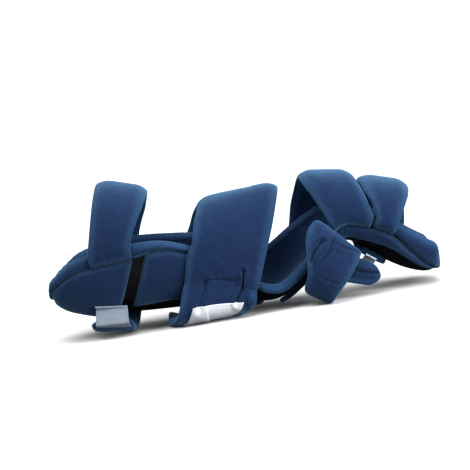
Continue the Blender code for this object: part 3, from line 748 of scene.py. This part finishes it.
def between(grid, rows, columns):
    """Points of a grid at places between its rows and columns."""
    i = np.minimum(rows.astype(int), grid.shape[0] - 2)
    j = np.minimum(columns.astype(int), grid.shape[1] - 2)
    a, b = (rows - i)[..., None], (columns - j)[..., None]
    return ((grid[i, j] * (1 - b) + grid[i, j + 1] * b) * (1 - a)
            + (grid[i + 1, j] * (1 - b) + grid[i + 1, j + 1] * b) * a)


def drape(surface, last, pitch=0.0014, ease=10, corner=0.0):
    """Even grid of points on a band, eased where its stretches join, and their places t and w on it."""
    t, w = np.linspace(0.0, last, 361), np.linspace(0.0, 1.0, 33)
    T, W = np.meshgrid(t, w, indexing="ij")
    points = surface(T.ravel(), W.ravel()).reshape(T.shape + (3,))
    for _ in range(ease):
        points[1:-1] = (points[:-2] + 2.0 * points[1:-1] + points[2:]) / 4.0
    down, over = spans(points)
    middle = down[:, w.size // 2]
    length, width = middle.max(), over[:, -1].mean()
    rows = packed(int(length / pitch), 0.0, length, 0.0003)
    columns = packed(int(width / pitch), 0.0, 1.0, 0.0003 / width)
    I = np.interp(rows, middle, np.arange(t.size))[:, None]
    narrow = np.ones((rows.size, 1))
    if corner:
        into = np.clip(1.0 - (length - rows) / corner, 0.0, 1.0)[:, None]
        narrow = 1.0 - 2.0 * corner / width * (1.0 - np.sqrt(1.0 - into ** 2 * 0.999))
    J = (0.5 + (columns[None] - 0.5) * narrow) * (w.size - 1)
    I = np.broadcast_to(I, J.shape)
    return between(points, I, J), I / (t.size - 1) * last, J / (w.size - 1)


def facing(points):
    """Unit normals of a grid of points."""
    along, across = np.gradient(points, axis=0), np.gradient(points, axis=1)
    normal = np.cross(along, across)
    return normal / np.linalg.norm(normal, axis=2, keepdims=True)


# A band's rounded edge, how far and over what width its edges curl in on an arch, how uneven its filling
# is and how much its edges are lightened, partly as worn fuzz and partly as a painted highlight
BAND_EDGE = 0.0026
CURL = 0.0042
CURLED = 0.011
WAVE = 0.0005
WEAR_AND_HIGHLIGHT = 0.6


def band(name, points, thick, sign, seed, extra=0.0, under=0.0, curl=0.0, seam=0.0):
    """Padded band round a grid of points on its inner face, with soft edges and uneven filling."""
    ends, sides = edges_of(points)
    points = points - facing(points) * sign * (curl * np.maximum(1.0 - sides / CURLED, 0.0) ** 2)[..., None]
    gone = np.hypot(1.0 - np.minimum(ends / BAND_EDGE, 1.0), 1.0 - np.minimum(sides / BAND_EDGE, 1.0))
    fullness = round_edge(BAND_EDGE * (1.0 - np.minimum(gone, 1.0)), BAND_EDGE)
    rim = np.minimum(ends, sides)
    crowned = 0.90 + 0.10 * step(0.0, 0.011, rim)
    soft = WAVE * unevenness(points, 0.024, seed) + WAVE * 0.4 * unevenness(points, 0.009, seed + 0.5)
    normal = facing(points) * sign
    low = thick * (1.0 - fullness) / 2 - under * fullness
    high = thick * (1.0 + fullness * crowned) / 2 + (soft + extra) * fullness
    inner, outer = points + normal * low[..., None], points + normal * high[..., None]
    for face in (inner, outer):
        face[..., 2] = np.maximum(face[..., 2], 0.0)
    # Lightened edges: partly worn fuzz, partly a painted highlight on the rounded edges
    edge_wear_and_highlight = bell(rim - 0.0022, 0.0034) * WEAR_AND_HIGHLIGHT
    return slab(name, inner, outer, {"wear_and_highlight": edge_wear_and_highlight, "seam": np.broadcast_to(seam, rim.shape)}), outer, normal


sewn = {}
for row in STRAPS:
    feet = station(row.seam, -SEAM)
    rims = station(row.far, 1.0)
    tails = station(row.end, row.last)

    def near_wall(s, w, feet=feet):
        """From the border's seam up to the near rim."""
        lift = mix((PANEL_SEAT + 0.0016, STRAP_SEAT), step(0.0, 0.9, s))
        return hull(mix(feet, w), mix((-SEAM - 0.004, -1.0), s), lift)

    def far_wall(s, w, row=row, rims=rims, tails=tails):
        """From the far rim down to the free end."""
        v = mix((1.0, row.last), s)
        return hull(mix((mix(rims, w), mix(tails, w)), s), v, seat_of(row, v))

    near_arch = half_arch(feet, -1.0, row.crown, row.heights, True)
    far_arch = half_arch(rims, 1.0, row.crown, row.heights, False)
    grid, T, W = drape(stretches(near_wall, near_arch, far_arch, far_wall), 4.0, corner=0.008)
    root = np.minimum(spans(grid)[0], 0.05)
    thick = STRAP * mix((0.55, 1.0), step(0.0, 0.007, root))
    pucker = 0.00022 * np.sin(W * 46.0 + 2.0 * np.sin(W * 9.0)) * bell(root, 0.007)
    # Darkened where the strap is sewn into the seam: partly stitching, partly painted shade in the join
    seam = bell(root, 0.0010)
    curl = CURL * step(1.05, 1.6, T) * (1.0 - step(2.6, 3.0, T))
    strap = band(row.name, grid, thick, -1.0, row.seed, extra=pucker, seam=seam, curl=curl)[0]
    sewn[row.name] = (row, rims, tails)
    fit(strap, loop_cloth(row.name + "_cloth"), "cloth", row.name)


# Wrist strap
# A wide padded band starts under the wrist, goes up the far side, over and down the near side, and is
# folded under the splint, which rests on it. A box is stitched into its near side.
WRIST_START = (-0.040, 0.148)
WRIST_FAR = (-0.015, 0.165)
WRIST_TOP = (0.035, 0.233)
WRIST_HEIGHTS = (0.1035, 0.1070)
WRIST_NEAR = (-0.004, 0.155)
WRIST_FLANK = (-0.034, 0.148)
WRIST_CORNER = (-0.062, 0.133)
WRIST_FLOOR = (-0.088, 0.098)
WRIST_END = (-0.095, 0.085)
WRIST_FIRST = -0.12
WRIST_LEAVE = (-0.50, -0.88)
WRIST_CORNER_OUT = -0.97
WRIST_CORNER_UP = 0.0122
WRIST_FLOOR_ENDS = (-0.50, 0.56)

wrist_starts = station(WRIST_START, WRIST_FIRST)
wrist_rims = station(WRIST_FAR, 1.0)
wrist_nears = station(WRIST_NEAR, -1.0)
wrist_flanks = station(WRIST_FLANK, WRIST_LEAVE)


def wrist_far_wall(s, w):
    """From its start under the trough up to the far rim."""
    v = mix((WRIST_FIRST, 1.0), s)
    sunk = (STRAP_SEAT - SHELL_SEAT) * (1.0 - step(0.16, 0.31, v))
    return hull(mix((mix(wrist_starts, w), mix(wrist_rims, w)), s), v, STRAP_SEAT - sunk)


def wrist_near_wall(s, w):
    """From the near rim down to where it leaves the trough."""
    v = mix((-1.0, mix(WRIST_LEAVE, w)), s)
    return hull(mix((mix(wrist_nears, w), mix(wrist_flanks, w)), s), v, STRAP_SEAT)


def wrist_fold(s, w):
    """Round its corner and under the trough, along the table."""
    def at(edges, out, up):
        places = (mix(edges, w) * LENGTH, np.full(w.size, out * WIDTH / 2), np.full(w.size, up))
        return np.stack(places, axis=1)

    low = hull(mix(wrist_flanks, w), mix(WRIST_LEAVE, w), STRAP_SEAT)
    near = at(WRIST_FLOOR, WRIST_FLOOR_ENDS[0], STRAP)
    far = at(WRIST_END, WRIST_FLOOR_ENDS[1], STRAP)
    corner = at(WRIST_CORNER, WRIST_CORNER_OUT, WRIST_CORNER_UP)
    folds = np.stack((low, corner, near, (near + far) / 2, far))
    return smooth((0.0, 0.3, 0.55, 0.78, 1.0), folds, s)


wrist_far_arch = half_arch(wrist_rims, 1.0, WRIST_TOP, WRIST_HEIGHTS, True)
wrist_near_arch = half_arch(wrist_nears, -1.0, WRIST_TOP, WRIST_HEIGHTS, False)

# Lines of the stitched box and the slit beside it, as places along and up on the near side, in metres
BOX_TOP = ((0.0068, 0.0383), (0.0240, 0.0362), (0.0398, 0.0342))
BOX_LEFT = ((0.0068, 0.0383), (0.0037, 0.0281), (-0.0025, 0.0170))
BOX_SLIT = ((0.0411, 0.0415), (0.0400, 0.0318), (0.0360, 0.0234), (0.0304, 0.0160))


def off_line(points, corners):
    """Distances of points, as seen from the side, from a line through corners."""
    seen = points[..., [0, 2]]
    nearest = np.full(points.shape[:2], 1.0)
    for start, end in zip(np.array(corners[:-1]), np.array(corners[1:])):
        along = end - start
        share = np.clip((seen - start) @ along / (along @ along), 0.0, 1.0)
        nearest = np.minimum(nearest, np.linalg.norm(seen - start - share[..., None] * along, axis=2))
    return nearest


def crease(points, corners, depth, width):
    """Groove along a line, with the filling swelling on both its sides."""
    off = off_line(points, corners)
    swelling = 0.4 * depth * bell(off - 2.7 * width, 1.5 * width)
    return step(0.0, -0.012, points[..., 1]) * (swelling - depth * bell(off, width))


grid, T, W = drape(stretches(wrist_far_wall, wrist_far_arch, wrist_near_arch, wrist_near_wall, wrist_fold),
                   5.0, 0.0012, ease=6)
creases = (crease(grid, BOX_TOP, 0.0009, 0.0010) + crease(grid, BOX_LEFT, 0.0026, 0.0019)
           + crease(grid, BOX_SLIT, 0.0034, 0.0011))
x, y, z = np.moveaxis(grid, 2, 0)
creases -= 0.0008 * ((x > 0.004) & (x < 0.040) & (z < 0.0375) & (y < -0.03))
# The box's top line and the slit are darkened: partly stitching, partly painted shade in the grooves
seam = 0.5 * bell(off_line(grid, BOX_TOP), 0.0007)
seam += bell(off_line(grid, BOX_SLIT), 0.0009)
seam = np.clip(seam, 0.0, 1.0) * (y < 0.0)
floor_layer = step(4.2, 4.45, T)
puff = 0.0034 * floor_layer * (1.0 - step(0.03, 0.20, W)) + 0.0012 * floor_layer * step(0.80, 0.97, W)
curl = CURL * step(1.05, 1.6, T) * (1.0 - step(2.55, 3.0, T))
wrist, wrist_face, wrist_normal = band("wrist_strap", grid, STRAP, 1.0, 31, extra=creases, under=puff,
                                       curl=curl, seam=seam)
fit(wrist, loop_cloth("wrist_strap_cloth"), "cloth", "wrist_strap")


# Stitches
# Short stitches of navy thread run along the wrist strap's box, along the border's near seam, where the
# pan's panel is sewn on, and later round the thumb wrap's box.
STITCH_LENGTH = 0.0019
STITCH_WIDE = 0.00042
STITCH_EVERY = 0.0029

thread, tree, shader = nodes_of("navy_thread", Base_Color=(0.030, 0.060, 0.140, 1.0), Roughness=0.55,
                                Sheen_Weight=0.2)
ply = add(tree, "TexWave", Vector=own_place(tree), bands_direction="DIAGONAL", Scale=420.0,
          Distortion=0.6).outputs["Fac"]
raise_by(tree, shader, ply, 0.5, 0.0001)


def stitches(name, lines):
    """Rows of stitches along lines of points, each with the way up from the cloth there."""
    bm = bmesh.new()
    for points, ups in lines:
        run = run_of(points)
        for at in np.arange(STITCH_EVERY / 2, run[-1], STITCH_EVERY):
            ends = [Vector([np.interp(at + side * STITCH_LENGTH / 2, run, points[:, k]) for k in range(3)])
                    for side in (-1, 1)]
            up = Vector([np.interp(at, run, ups[:, k]) for k in range(3)]).normalized()
            along = (ends[1] - ends[0]).normalized()
            across = up.cross(along).normalized()
            turn = Matrix((along, across, along.cross(across))).transposed().to_4x4()
            size = Matrix.Diagonal((STITCH_LENGTH, STITCH_WIDE, STITCH_WIDE * 0.9, 1.0))
            place = Matrix.Translation((ends[0] + ends[1]) / 2) @ turn @ size
            bmesh.ops.create_uvsphere(bm, u_segments=8, v_segments=5, radius=0.5, matrix=place)
    piece = put(name, mesh_of(name, bm))
    piece.data.shade_smooth()
    fit(piece, thread, "cloth")


def along_face(face, normal, corners, low):
    """Line over a band's near side, seen from the side, with the way up from the cloth along it."""
    near = (face[..., 1] < low).ravel()
    points, ways = face.reshape(-1, 3)[near], normal.reshape(-1, 3)[near]
    seen = np.array(corners)
    run = run_of(seen)
    at = np.linspace(0.0, run[-1], max(int(run[-1] / 0.0015), 3))
    places = np.stack([np.interp(at, run, seen[:, k]) for k in (0, 1)], axis=1)
    nearest = [np.argsort(np.linalg.norm(points[:, [0, 2]] - place, axis=1))[:4] for place in places]
    line = np.array([points[near_by].mean(axis=0) for near_by in nearest])
    line[:, [0, 2]] = places
    return line, np.array([ways[near_by].mean(axis=0) for near_by in nearest])


seam_u = np.linspace(*station((0.372, 0.560), -SEAM), 60)
seam_v = np.full(seam_u.size, -SEAM + 0.012)
seam_line = hull(seam_u, seam_v, PANEL_SEAT + 0.0026)
stitches("seam_stitches", [(seam_line, hull(seam_u, seam_v, PANEL_SEAT + 0.0036) - seam_line)])
stitches("wrist_stitches", [along_face(wrist_face, wrist_normal, line, -0.03)
                            for line in (BOX_TOP, BOX_SLIT)])


# Label
# A bare white woven label is sewn on the wrist strap, round its folded corner, with its end turned over
# at the elbow's side.
LABEL = 0.0008


def on_face(face, normal, T, W, t, w, lift):
    """Points over a band's face at places round it and across it."""
    rows = np.interp(t, T[:, 0], np.arange(len(T)))
    columns = np.interp(w, W[len(W) // 2], np.arange(W.shape[1]))
    return between(face, rows, columns) + between(normal, rows, columns) * lift


def patch(name, points, normal, thick, wave, seed, turned=0.0):
    """Thin closed sheet on a grid of points, with a barely uneven face and a turned end where marked."""
    edge = np.minimum(*edges_of(points))
    top = thick * round_edge(edge, 0.0004) + wave * unevenness(points, 0.010, seed) * step(0.0, 0.002, edge)
    turned = np.broadcast_to(turned, edge.shape)
    top = top + 0.5 * thick * turned
    return slab(name, points, points + normal * top[..., None], {"edge": edge, "turned": turned})


def woven(name, pale, shade, pitch, hooks=0.0):
    """Woven tape: fine crossing threads, a turned hem along its edge, and hooks where it has them."""
    material, tree, shader = nodes_of(name, Specular_IOR_Level=0.25, Sheen_Weight=0.15)
    own_map = add(tree, "UVMap", uv_map="cloth").outputs["UV"]
    threads = [add(tree, "TexWave", Vector=own_map, bands_direction=way, Scale=0.314 / pitch,
                   Distortion=1.2, Detail=2.0, Detail_Scale=2.0).outputs["Fac"] for way in ("X", "Y")]
    crossing = calc(tree, "MULTIPLY", *threads)
    soil = add(tree, "TexNoise", Vector=own_place(tree), Scale=90.0, Detail=5.0,
               Roughness=0.65).outputs["Fac"]
    fuzz = add(tree, "TexVoronoi", Vector=own_map, Scale=0.55 / pitch).outputs["Distance"]
    rim, turned = marks_of(tree, "edge", "turned")
    hem = calc(tree, "MULTIPLY", ranged(tree, rim, 0.0012, 0.0016), ranged(tree, rim, 0.0024, 0.0020))
    colour = blend(tree, shade, pale, ranged(tree, crossing, 0.0, 0.5, 0.35, 1.0))
    colour = stain(tree, colour, shade, soil, 0.45, 0.75, 0.5)
    for mark, share in ((hem, 0.8), (turned, 0.9)):
        colour = blend(tree, colour, shade, calc(tree, "MULTIPLY", mark, share))
    give(shader, Base_Color=colour, Roughness=ranged(tree, soil, 0.3, 0.7, 0.62, 0.85))
    high = calc(tree, "SUBTRACT", crossing, calc(tree, "MULTIPLY", hem, 1.2))
    high = calc(tree, "ADD", high, calc(tree, "MULTIPLY", fuzz, hooks))
    raise_by(tree, shader, high, 0.5, 0.0002)
    return material


LABEL_ROUND = (4.235, 4.45)
LABEL_TOP = (0.175, 0.835)
LABEL_BOTTOM = (0.130, 0.785)
s, c = np.meshgrid(packed(46, 0.0, 1.0, 0.006), packed(90, 0.0, 1.0, 0.003), indexing="ij")
label_t = mix(LABEL_ROUND, s)
label_w = mix((mix(LABEL_TOP, c), mix(LABEL_BOTTOM, c)), s)
label_base = on_face(wrist_face, wrist_normal, T, W, label_t, label_w, 0.0003)
label_up = facing(label_base)
label_base[..., 2] = np.maximum(label_base[..., 2], 0.0002)
label = patch("label", label_base, label_up, LABEL, 0.00015, 51, 1.0 - step(0.055, 0.065, c))
fit(label, woven("label_tape", (0.93, 0.94, 0.98, 1.0), (0.60, 0.63, 0.70, 1.0), 0.00045), "label", "label")


# Hook tabs
# Pale grey hook tape is sewn on the free ends of the proximal and finger straps and reaches past them.
TAB = 0.0014
HookTab = namedtuple("HookTab", "name strap first last across start end pale")
TABS = (
    HookTab("proximal_tab", "proximal_strap", (-0.325, -0.285), (-0.425, -0.385), (0.13, 0.90),
            0.0, -0.0134, 0.66),
    HookTab("finger_tab", "finger_strap", (-0.12, -0.12), (-0.37, -0.37), (0.34, 0.70),
            0.0065, 0.0, 2.0),
)
for row in TABS:
    strap, rims, tails = sewn[row.strap]
    s, w = np.meshgrid(packed(60, 0.0, 1.0, 0.006), packed(70, *row.across, 0.004), indexing="ij")
    v = mix((mix(row.first, w), mix(row.last, w)), s)
    edge = strap.last - 0.01
    loose = row.start * step(edge, row.first[0], v) + row.end * step(edge, row.last[1], v)
    u = mix((mix(rims, w), mix(tails, w)), (1.0 - v) / (1.0 - strap.last))
    lift = seat_of(strap, v) + STRAP + 0.0006 + loose
    base = hull(u, v, lift)
    tab = patch(row.name, base, (hull(u, v, lift + 0.001) - base) / 0.001, TAB, 0.0002, 52)
    # Each tab's grey is scaled by its own factor: on the finger tab, which lies in shade, it is raised as
    # painted light
    tab_grey_with_painted_light, shade = (tuple(row.pale * part for part in grey) + (1.0,)
                        for grey in ((0.40, 0.48, 0.58), (0.22, 0.27, 0.35)))
    fit(tab, woven(row.name + "_tape", tab_grey_with_painted_light, shade, 0.00060, 0.9), "hook", row.name)


# Thumb wrap
# A wide padded flap hangs from the palm's edge, loops round the thumb and is sewn under the palm. Box
# stitching holds its layers together.
WRAP = 0.005
Fold = namedtuple("Fold", "back_along back_out back_up tip_along tip_out tip_up")
WRAP_FOLDS = (
    Fold(0.318, 1.02, 1.42, 0.418, 0.88, 0.75),
    Fold(0.303, 1.10, 1.39, 0.410, 1.06, 0.69),
    Fold(0.283, 1.25, 1.19, 0.393, 1.23, 0.56),
    Fold(0.276, 1.31, 0.83, 0.368, 1.31, 0.37),
    Fold(0.270, 1.26, 0.54, 0.337, 1.25, 0.15),
    Fold(0.256, 1.09, 0.31, 0.319, 1.07, 0.00),
    Fold(0.264, 0.83, 0.21, 0.314, 0.83, -0.01),
    Fold(0.276, 0.57, 0.25, 0.322, 0.57, 0.04),
    Fold(0.288, 0.34, 0.32, 0.350, 0.35, 0.50),
)

# How far its middle bulges past a straight line between its edges at each fold, in the same shares
Bulge = namedtuple("Bulge", "along out up")
FLAT = Bulge(0.0, 0.0, 0.0)
WRAP_BULGES = (
    Bulge(-0.018, 0.19, 0.150),
    Bulge(-0.014, 0.13, 0.050),
    Bulge(-0.009, 0.05, -0.030),
    Bulge(-0.003, 0.00, -0.020),
    FLAT, FLAT, FLAT, FLAT, FLAT, FLAT,
)
WRAP_END = (0.286, 0.362)
WRAP_END_ROUND = -0.34


def fold_edges(folds, sewn_at, first):
    """Rows of points down both edges of a folded flap, with the points where it is sewn on."""
    points = np.array(folds).reshape(-1, 2, 3) * (LENGTH, -WIDTH / 2, STAND + RISE)
    return [np.insert(points[:, side], 0 if first else len(folds), sewn_at[side], axis=0) for side in (0, 1)]


def flap(edges, t, w):
    """Points between the two edges of a folded flap."""
    back, tip = (smooth(np.arange(len(edge)), edge, t) for edge in edges)
    return back * (1.0 - w)[:, None] + tip * w[:, None]


wrap_places = station(WRAP_END, WRAP_END_ROUND)
wrap_ends = hull(wrap_places, WRAP_END_ROUND, SHELL_SEAT + CLEAR)
wrap_edges = fold_edges(WRAP_FOLDS, wrap_ends, False)
WRAP_LAST = len(WRAP_FOLDS)


def wrap_surface(t, w):
    """Flap from the palm's edge (t 0) round the thumb to where it is sewn under the palm."""
    bulge = smooth(np.arange(len(WRAP_BULGES)), WRAP_BULGES, t) * (LENGTH, -WIDTH / 2, STAND + RISE)
    hung = flap(wrap_edges, t, w) + bulge * (4.0 * w * (1.0 - w))[:, None]
    sewn_on = hull(mix(wrap_places, w), WRAP_END_ROUND, SHELL_SEAT + CLEAR)
    plain = mix(wrap_ends[:, None], w[:, None])
    return hung + (sewn_on - plain) * step(WRAP_LAST - 1.5, WRAP_LAST, t)[:, None]


# Its folds and the lines of its box stitching, as places along and up on the near side, in metres
WRAP_CREASES = (
    ((0.1210, 0.0539), (0.1173, 0.0480), (0.1113, 0.0423), (0.0998, 0.0337)),
    ((0.1140, 0.0565), (0.1101, 0.0545), (0.1023, 0.0471), (0.0993, 0.0389)),
    ((0.1110, 0.0560), (0.1050, 0.0512), (0.0995, 0.0413)),
)
WRAP_BOX = (((0.1281, 0.0483), (0.1090, 0.0235)), ((0.1400, 0.0419), (0.1199, 0.0173)),
            ((0.1090, 0.0235), (0.1199, 0.0173)), ((0.1281, 0.0483), (0.1400, 0.0419)))

grid, T, W = drape(wrap_surface, WRAP_LAST, 0.0009, ease=6)
creases = sum(crease(grid, line, 0.0021, 0.0017) for line in WRAP_CREASES)
creases += sum(crease(grid, line, 0.0010, 0.0009) for line in WRAP_BOX)
# The box lines are darkened: partly stitching, partly painted shade in the grooves
seam = bell(np.min([off_line(grid, line) for line in WRAP_BOX], axis=0), 0.0006)
seam *= 0.6 * (grid[..., 1] < -0.045)
wrap, _, wrap_normal = band("thumb_wrap", grid, WRAP, -1.0, 41, under=creases, seam=seam)
fit(wrap, loop_cloth("thumb_wrap_cloth"), "cloth", "thumb_wrap")
outside = grid + wrap_normal * (-creases)[..., None]
stitches("wrap_stitches", [along_face(outside, -wrap_normal, line, -0.05) for line in WRAP_BOX])


# Thumb cradle
# A padded tongue behind the thumb is sewn along the palm's edge, with a seam down its middle.
CRADLE_ROOT = (0.338, 0.284)
CRADLE_ROUND = -0.62
CRADLE_FOLDS = (
    Fold(0.384, 0.82, 0.73, 0.328, 0.80, 0.36),
    Fold(0.419, 0.81, 0.60, 0.380, 0.80, 0.25),
    Fold(0.447, 0.78, 0.47, 0.424, 0.78, 0.16),
    Fold(0.458, 0.78, 0.36, 0.446, 0.78, 0.18),
)
cradle_roots = hull(station(CRADLE_ROOT, CRADLE_ROUND), CRADLE_ROUND, SHELL_SEAT)
cradle_edges = fold_edges(CRADLE_FOLDS, cradle_roots, True)
CRADLE_SEAM = ((0.1240, 0.0335), (0.1385, 0.0246), (0.1468, 0.0209), (0.1571, 0.0185))

grid, T, W = drape(lambda t, w: flap(cradle_edges, t, w), len(CRADLE_FOLDS), 0.0009, 4, 0.009)
creases = crease(grid, CRADLE_SEAM, 0.0016, 0.0011)
# The middle seam is darkened: partly stitching, partly painted shade in its groove
seam = 0.8 * bell(off_line(grid, CRADLE_SEAM), 0.0006)
cradle = band("thumb_cradle", grid, WRAP, 1.0, 42, under=creases, seam=seam)[0]
fit(cradle, loop_cloth("thumb_cradle_cloth"), "cloth", "thumb_cradle")
